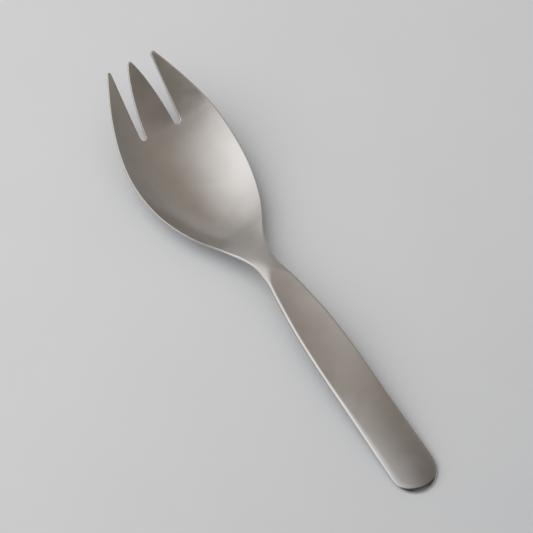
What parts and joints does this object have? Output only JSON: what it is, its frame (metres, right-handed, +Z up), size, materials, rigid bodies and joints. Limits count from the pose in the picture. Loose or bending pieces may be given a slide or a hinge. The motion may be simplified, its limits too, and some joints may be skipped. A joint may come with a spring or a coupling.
{
  "type": "serving spork",
  "caption": "One-piece satin steel spork with a flat round-ended handle, a narrow neck and a dished leaf-shaped bowl that sweeps up into pointed tines.",
  "frame": {"origin": "on the table, under the middle of the spork's length and width as it lies on the bowl's belly and the handle's end", "axes": "+X across the spork to the right, +Y along it towards the tips of the tines, +Z up, out of the bowl"},
  "size_m": [0.0494, 0.2, 0.0262],
  "materials": {
    "satin_steel": "satin"
  },
  "bodies": {
    "root": {"handle": "satin_steel", "neck": "satin_steel", "bowl": "satin_steel", "left_tine": "satin_steel", "middle_tine": "satin_steel", "right_tine": "satin_steel"}
  },
  "joints": []
}
